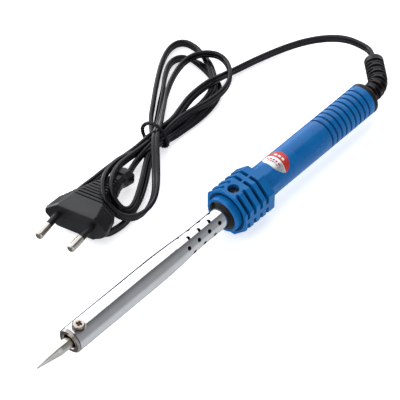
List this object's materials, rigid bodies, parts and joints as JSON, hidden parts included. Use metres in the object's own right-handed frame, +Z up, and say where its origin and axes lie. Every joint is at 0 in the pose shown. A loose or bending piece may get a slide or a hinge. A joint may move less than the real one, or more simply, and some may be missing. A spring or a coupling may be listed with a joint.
{
  "type": "soldering iron",
  "caption": "Mains soldering iron: straight pencil bit, vented steel barrel, slotted octagonal finger guard, round grooved handle and a flat cord tied in a hank.",
  "frame": {"origin": "middle of the iron's length, on its centre line, level with the surface that the finger guard's lowest flat rests on", "axes": "+X from the bit's point to the cord end along the iron, +Z up, +Y towards the side that the cord lies on"},
  "size_m": [0.2709, 0.1192, 0.0244],
  "materials": {
    "tip_plating": "nickel-plated copper, lightly heat-tinted near the point",
    "barrel_steel": "polished stainless tube",
    "nose_steel": "turned steel, satin",
    "screw_steel": "zinc-plated steel, slightly yellow",
    "heater_tube": "oxidised steel",
    "mica": "mica sheet",
    "heater_wire": "close-wound resistance wire",
    "ceramic": "unglazed ceramic",
    "glass_braid": "woven glass sleeving",
    "bush_phenolic": "dark brown phenolic moulding",
    "guard_blue": "glossy moulded blue plastic",
    "handle_blue": "glossy moulded blue plastic",
    "label_foil": "printed foil sticker, silver and red, plain bars",
    "terminal_plastic": "white moulded block",
    "terminal_brass": "plain brass",
    "core_insulation": "insulated core, brown",
    "clamp_plastic": "moulded black",
    "cap_black": "satin black moulding",
    "boot_rubber": "soft black moulding, satin",
    "cord_black": "flat black flexible cord, satin",
    "tie_black": "plastic-covered wire tie",
    "plug_black": "moulded black, glossy on its panel",
    "pin_nickel": "nickel-plated brass",
    "pin_sleeve": "black insulating sleeve"
  },
  "bodies": {
    "iron": {"nose_ring": "nose_steel", "barrel_tube": "barrel_steel", "heater_sleeve": "heater_tube", "mica_inner_wrap": "mica", "heating_coil": "heater_wire", "mica_outer_wrap": "mica", "heater_front_spacer": "ceramic", "heater_rear_spacer": "ceramic", "heater_leads": "heater_wire", "lead_insulators": "glass_braid", "insulating_bush": "bush_phenolic", "guard_screw": "nose_steel", "finger_guard": "guard_blue", "handle_shell": "handle_blue", "rating_label": "label_foil", "terminal_block": "terminal_plastic", "terminal_screws": "terminal_brass", "cord_cores": "core_insulation", "cord_clamp": "clamp_plastic", "clamp_screws": "nose_steel", "end_cap": "cap_black", "cord_inner_run": "cord_black", "strain_relief_boot": "boot_rubber", "supply_cord": "cord_black", "cord_hank": "cord_black", "cord_tie": "tie_black", "plug_body": "plug_black", "plug_pin_left": "pin_nickel", "plug_pin_right": "pin_nickel", "pin_sleeve_left": "pin_sleeve", "pin_sleeve_right": "pin_sleeve"},
    "bit": {"tip_bit": "tip_plating"},
    "washer": {"screw_washer": "screw_steel"},
    "screw": {"tip_screw": "screw_steel"}
  },
  "joints": [
    {"name": "tip_slide", "type": "slide", "parent": "iron", "child": "bit", "axis": [-1, 0, 0], "range_m": [0, 0.06]},
    {"name": "screw_lift", "type": "slide", "parent": "iron", "child": "washer", "axis": [0, -0.1564, 0.9877], "range_m": [0, 0.002]},
    {"name": "screw_turn", "type": "hinge", "parent": "washer", "child": "screw", "pos_m": [-0.092, 0, 0.0122], "axis": [0, -0.1564, 0.9877], "range_deg": [0, 1441]}
  ],
  "couplings": [
    {"joint": "screw_turn", "follows": "screw_lift", "rad_per_m": 12566}
  ]
}
